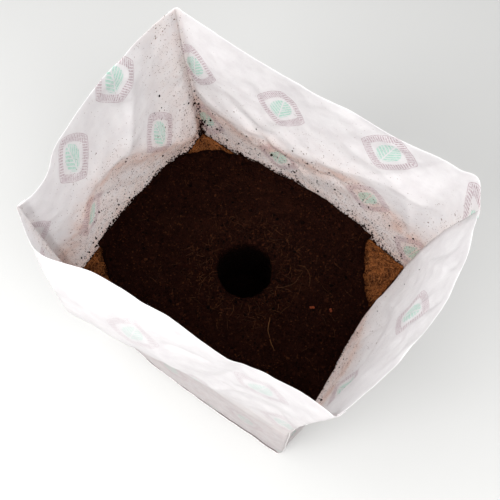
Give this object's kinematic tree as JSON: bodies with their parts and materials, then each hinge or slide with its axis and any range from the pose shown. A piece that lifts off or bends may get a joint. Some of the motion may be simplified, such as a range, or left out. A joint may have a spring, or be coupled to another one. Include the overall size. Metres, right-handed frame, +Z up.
{
  "type": "fabric grow bag",
  "caption": "Open-topped rectangular bag of white spunbond fabric, half filled with a coir block and a layer of potting mix with a planting hole.",
  "frame": {"origin": "middle of the base panel's underside, on the surface the bag stands on", "axes": "+Z up; +X along the bag's long side; -Y towards its front panel"},
  "size_m": [0.3607, 0.2866, 0.445],
  "materials": {
    "fabric": "white spunbond non-woven, matt, slightly translucent, faint two-colour print",
    "thread": "white twisted sewing thread",
    "coir": "brown fibrous coir, damp and matt",
    "mix": "very dark fine potting mix, damp and crumbly",
    "bark": "red-brown bark splinter",
    "straw": "dry fibre"
  },
  "bodies": {
    "root": {"base_panel": "fabric", "back_panel": "fabric", "front_panel": "fabric", "left_panel": "fabric", "right_panel": "fabric", "base_stitching": "thread", "back_left_stitching": "thread", "back_right_stitching": "thread", "front_right_stitching": "thread", "front_left_stitching": "thread", "coir_block": "coir", "potting_mix": "mix", "bark_chip_1": "bark", "bark_chip_2": "bark", "straw": "straw", "root_fibre_left": "straw", "root_fibre_right": "straw"}
  },
  "joints": []
}
